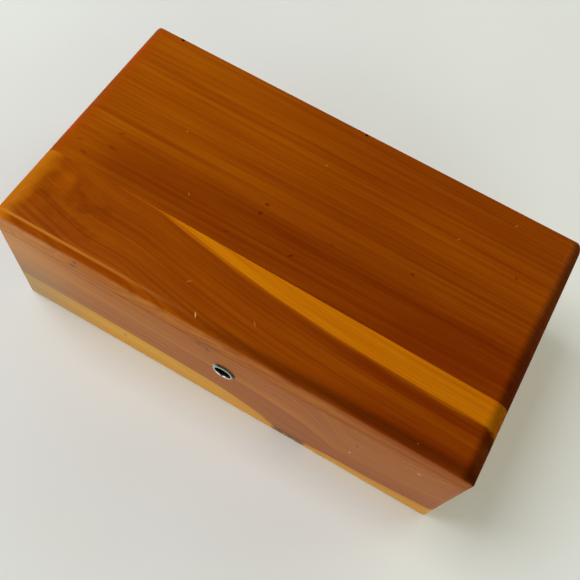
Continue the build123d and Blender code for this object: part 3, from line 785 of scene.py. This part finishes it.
slotted = put(t, "GeometryNodeMeshBoolean", {"Mesh 1": whole.outputs[0], "Mesh 2": slot.outputs[0]},
              operation="DIFFERENCE", solver="EXACT")
half_turn = 3.1416
turns = {"Min": (0.0, 0.0, 0.0), "Max": (0.0, 0.0, half_turn), "Seed": given["Seed"]}
turn = put(t, "FunctionNodeRandomValue", turns, data_type="FLOAT_VECTOR")
spin = put(t, "FunctionNodeEulerToRotation", {"Euler": turn.outputs["Value"]})
aim = put(t, "FunctionNodeRotateRotation", {"Rotation": given["Tilt"], "Rotate By": spin.outputs[0]},
          rotation_space="LOCAL")
driven = put(t, "GeometryNodeInstanceOnPoints", {
    "Points": given["Places"], "Instance": slotted.outputs[0], "Rotation": aim.outputs[0]})
real = put(t, "GeometryNodeRealizeInstances", {"Geometry": driven.outputs[0]})
finish = put(t, "GeometryNodeSetMaterial", {"Geometry": real.outputs[0], "Material": given["Finish"]})
t.links.new(finish.outputs[0], result.inputs["Screws"])


def drive_screws(node, places, tilt, seed, material, length):
    """One slotted screw at each place, as one plain mesh that stands for the node."""
    points = bpy.data.meshes.new(node + " places")
    points.from_pydata(places, [], [])
    maker = new_object(node + " maker", points)
    modifier = maker.modifiers.new("screws", "NODES")
    modifier.node_group = screw_tree
    settings = {"Tilt": tilt, "Seed": seed, "Finish": material, "Length": length}
    for item in screw_tree.interface.items_tree:
        if item.in_out == "INPUT" and item.name in settings:
            modifier[item.identifier] = settings[item.name]
    bpy.context.view_layer.update()
    made = bpy.data.meshes.new_from_object(maker.evaluated_get(bpy.context.evaluated_depsgraph_get()))
    bpy.data.objects.remove(maker)
    stand_for(new_object(node + "_slotted", made), node)


def screw_row(node, leaves, height):
    """Places for two screws in each hinge leaf, from the outer screws of the node."""
    low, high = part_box(node)
    inset = (high.y - low.y) / 2
    places = []
    for leaf in leaves:
        leaf_low, leaf_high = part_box(leaf)
        leaf_middle = (leaf_low.x + leaf_high.x) / 2
        outer = low.x + inset if leaf_middle < 0 else high.x - inset
        places += [(outer, low.y + inset, height), (2 * leaf_middle - outer, low.y + inset, height)]
    return places


screw_brass = (0.74, 0.50, 0.20, 1)
dull_screw_brass = (0.33, 0.20, 0.08, 1)
hinge_screw_brass = metal_material("hinge screw brass", "hinge_body_screws", screw_brass, dull_screw_brass,
                                   0.8, 0.25, 0.5)
low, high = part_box("hinge_body_screws")
body_row = screw_row("hinge_body_screws", ("hinge_left_body_leaf", "hinge_right_body_leaf"), high.z)
drive_screws("hinge_body_screws", body_row, (0, 0, 0), 4, hinge_screw_brass, high.z - low.z)
low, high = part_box("hinge_lid_screws")
lid_row = screw_row("hinge_lid_screws", ("hinge_left_lid_leaf", "hinge_right_lid_leaf"), low.z)
drive_screws("hinge_lid_screws", lid_row, (radians(180), 0, 0), 9, hinge_screw_brass,
             high.z - low.z)


# ---------------------------------------------------------------------------------------------
# Keyhole ferrule.  An eyelet pressed from thin nickelled brass: its tube fills the hole in the
# front board, and its flange rises a millimetre to a rolled lip round the bore.
# ---------------------------------------------------------------------------------------------
low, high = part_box("keyhole_ferrule")
keyhole = Vector(((low.x + high.x) / 2, 0, (low.z + high.z) / 2))
flange_width = 0.0019
wall = 0.0002
flange = (high.x - low.x) / 2
bore = flange - flange_width
tube = bore + wall
rim_height = body_low.y - low.y
outline = [
    (bore, high.y), (bore, body_low.y - rim_height * 0.3), (bore + 0.0001, body_low.y - rim_height * 0.8),
    (bore + 0.0003, low.y), (bore + 0.0006, body_low.y - rim_height * 0.97),
    (bore + 0.0011, body_low.y - rim_height * 0.7), (bore + 0.0016, body_low.y - rim_height * 0.32),
    (flange, body_low.y - rim_height * 0.1), (flange, body_low.y), (tube, body_low.y), (tube, high.y),
]
ring_shape = bmesh.new()
corners = [ring_shape.verts.new((keyhole.x + radius, y, keyhole.z)) for radius, y in outline]
sides = [ring_shape.edges.new((corners[i - 1], corners[i])) for i in range(len(corners))]
bmesh.ops.spin(ring_shape, geom=corners + sides, cent=keyhole, axis=(0, 1, 0), angle=radians(360), steps=40,
               use_merge=True)
bmesh.ops.remove_doubles(ring_shape, verts=ring_shape.verts, dist=1e-6)
bmesh.ops.recalc_face_normals(ring_shape, faces=ring_shape.faces)
for face in ring_shape.faces:
    face.smooth = True
crease = ring_shape.edges.layers.float.new("crease_edge")
for edge in ring_shape.edges:
    if all(v.co.y > body_low.y - 0.00005 for v in edge.verts) and edge.calc_face_angle(0) > radians(40):
        edge[crease] = 0.9
ring_mesh = bpy.data.meshes.new("ferrule")
ring_shape.to_mesh(ring_mesh)
ring_shape.free()
nickel, t, shader, vector, x, y, z = split_material("nickel plate")
crest = ease(t, y, low.y, low.y + 0.0003, 1.0, 0.0)
skirt = ease(t, y, low.y + 0.0002, body_low.y)
in_bore = ease(t, y, body_low.y - rim_height * 0.5, body_low.y + 0.0006)
# More tarnish down the skirt towards the wood: partly tarnish, partly painted shade.
amount = plus(t, 0.3, times(t, skirt, 0.45))
surface = place(t, aged_metal, Vector=vector, Bright=(0.64, 0.62, 0.58, 1), Tarnish=(0.19, 0.17, 0.145, 1),
                Amount=amount, Wear=crest, Smooth=0.15, Dull=0.4)
from_centre = vector_of(t, minus(t, x, keyhole.x), 0.0, minus(t, z, keyhole.z))
outer = ease(t, length(t, from_centre), bore + 0.0005, bore + 0.0012)
upward = plus(t, times(t, minus(t, x, keyhole.x), 0.55), times(t, minus(t, z, keyhole.z), 0.85))
# Painted shade on the outer flank of the ring, heaviest on its upper side towards the right.
painted_flank_shade = times(t, outer, ease(t, upward, -0.0005, 0.0030, 0.1, 0.95))
shade = blend(t, painted_flank_shade, surface["Color"], (0.035, 0.020, 0.008, 1))
# Painted shade: the inner wall of the bore is coloured near black.
shade = blend(t, in_bore, shade, (0.022, 0.021, 0.019, 1))
bump = put(t, "ShaderNodeBump", {"Height": surface["Height"], "Strength": 0.25, "Distance": 0.00002})
feed(t, shader, {"Base Color": shade, "Roughness": surface["Roughness"], "Normal": bump.outputs[0],
                 "Metallic": 1.0})
ring_mesh.materials.append(nickel)
ferrule = new_object("rolled_ferrule", ring_mesh)
rounding = ferrule.modifiers.new("rolled", "SUBSURF")
rounding.levels = 2
rounding.render_levels = 2
stand_for(ferrule, "keyhole_ferrule")


# ---------------------------------------------------------------------------------------------
# Box lock.  A brass back plate with its selvedge flush in the top edge, a pressed steel case
# behind the front board, and a steel bolt with two hooked fingers that slides on riveted studs.
# The key fits over the post.
# ---------------------------------------------------------------------------------------------
steel = (0.50, 0.49, 0.47, 1)
dull_steel = (0.16, 0.13, 0.10, 1)
plate_brass = metal_material("lock plate brass", "lock_plate", brass, dull_brass, 0.65, 0.25, 0.5, 0.0008)
finished_copy("lock_plate", plate_brass, 0.00015)
for node, amount in (("lock_case", 0.9), ("lock_bolt", 0.5), ("bolt_spring", 0.4), ("bolt_guide_studs", 0.6),
                     ("key_post", 0.5)):
    part_steel = metal_material(node + " steel", node, steel, dull_steel, amount, 0.28, 0.55)
    finished_copy(node, part_steel, 0.00008)
low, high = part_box("lock_screws")
head_radius = (high.z - low.z) / 2
lock_places = [(x, high.y, low.z + head_radius) for x in (low.x + head_radius, high.x - head_radius)]
lock_screw_steel = metal_material("lock screw steel", "lock_screws", steel, dull_steel, 0.7, 0.28, 0.55)
drive_screws("lock_screws", lock_places, (radians(-90), 0, 0), 2, lock_screw_steel,
             high.y - low.y)


# ---------------------------------------------------------------------------------------------
# Strike plate.  A brass plate let into the underside of the lid, with two lugs whose eyes take
# the fingers of the bolt, held by a screw at each end.
# ---------------------------------------------------------------------------------------------
strike_brass = metal_material("strike plate brass", "strike_plate", brass, dull_brass, 0.7, 0.22, 0.5, 0.0006)
finished_copy("strike_plate", strike_brass, 0.00012)
low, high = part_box("strike_screws")
head_radius = (high.y - low.y) / 2
strike_places = [(x, low.y + head_radius, low.z) for x in (low.x + head_radius, high.x - head_radius)]
strike_screw_brass = metal_material("strike screw brass", "strike_screws", screw_brass, dull_screw_brass,
                                    0.8, 0.25, 0.5)
drive_screws("strike_screws", strike_places, (radians(180), 0, 0), 7, strike_screw_brass,
             high.z - low.z)


# ---------------------------------------------------------------------------------------------
# Table, light and camera.  A pale paper sheet that fades into haze, a soft window high on the left,
# two weak yellowish fills low on the right, pale walls and a dark ceiling.
# ---------------------------------------------------------------------------------------------
paper, t, shader, vector = new_material("pale paper")
tint = ease(t, noise(t, vector, 7.0, 2.0), 0.3, 0.7)
sheet_colour = blend(t, tint, (0.845, 0.857, 0.856, 1), (0.87, 0.883, 0.892, 1))
feed(t, shader, {"Base Color": sheet_colour, "Roughness": 0.7, "Specular IOR Level": 0.1})
seen = put(t, "ShaderNodeLightPath").outputs["Is Camera Ray"]
haze = put(t, "ShaderNodeEmission", {"Color": (0.80, 0.79, 0.75, 1)})
far = times(t, ease(t, length(t, vector), 0.45, 1.3), seen)
sheet = put(t, "ShaderNodeMixShader", {0: far, 1: shader.outputs[0], 2: haze.outputs[0]})
feed(t, t.nodes["Material Output"], {0: sheet.outputs[0]})
floor_mesh = bpy.data.meshes.new("floor")
reach = 2.5
level = -0.0001
floor_mesh.from_pydata(
    [(-reach, -reach, level), (reach, -reach, level), (reach, reach, level), (-reach, reach, level)],
    [], [(0, 1, 2, 3)],
)
floor_mesh.materials.append(paper)
new_object("floor", floor_mesh)


def soft_light(name, spot, size, power, tint=(1, 1, 1)):
    """A square soft light at a spot, turned to the middle of the box."""
    light = bpy.data.lights.new(name, "AREA")
    light.shape = "SQUARE"
    light.size = size
    light.energy = power
    light.color = tint
    lamp = new_object(name, light)
    lamp.location = spot
    lamp.rotation_euler = (Vector((0, 0, 0.03)) - Vector(spot)).to_track_quat("-Z", "Y").to_euler()


soft_light("left window", (-0.64, -0.06, 1.13), 0.68, 8.2)
soft_light("right front fill", (0.72, -0.98, 0.48), 1.0, 4.3, (0.97, 1.0, 0.78))
soft_light("right back fill", (0.70, 1.02, 0.42), 1.0, 5.5, (0.95, 1.0, 0.70))

world = bpy.data.worlds.new("pale room")
world.use_nodes = True
t = world.node_tree
background = t.nodes["Background"]
direction = put(t, "ShaderNodeTexCoord").outputs["Generated"]
to_right, _, up = put(t, "ShaderNodeSeparateXYZ", {0: direction}).outputs
walls = blend(t, ease(t, to_right, -0.6, 0.7), (0.90, 0.895, 0.88, 1), (0.80, 0.81, 0.66, 1))
ceiling = ease(t, up, 0.4, 0.78)
feed(t, background, {"Color": blend(t, ceiling, walls, (0.03, 0.03, 0.03, 1)), "Strength": 1.0})
bpy.context.scene.world = world

camera = bpy.data.cameras.new("camera")
camera.lens = 43.6
camera.sensor_width = 36.0
camera.shift_y = 0.1033
camera_rig = new_object("camera", camera)
camera_rig.location = (0.055176, -0.155576, 0.332702)
camera_rig.rotation_euler = (radians(21.9928), radians(-5.5078), radians(29.4176))
bpy.context.scene.camera = camera_rig
bpy.context.scene.view_settings.view_transform = "Standard"
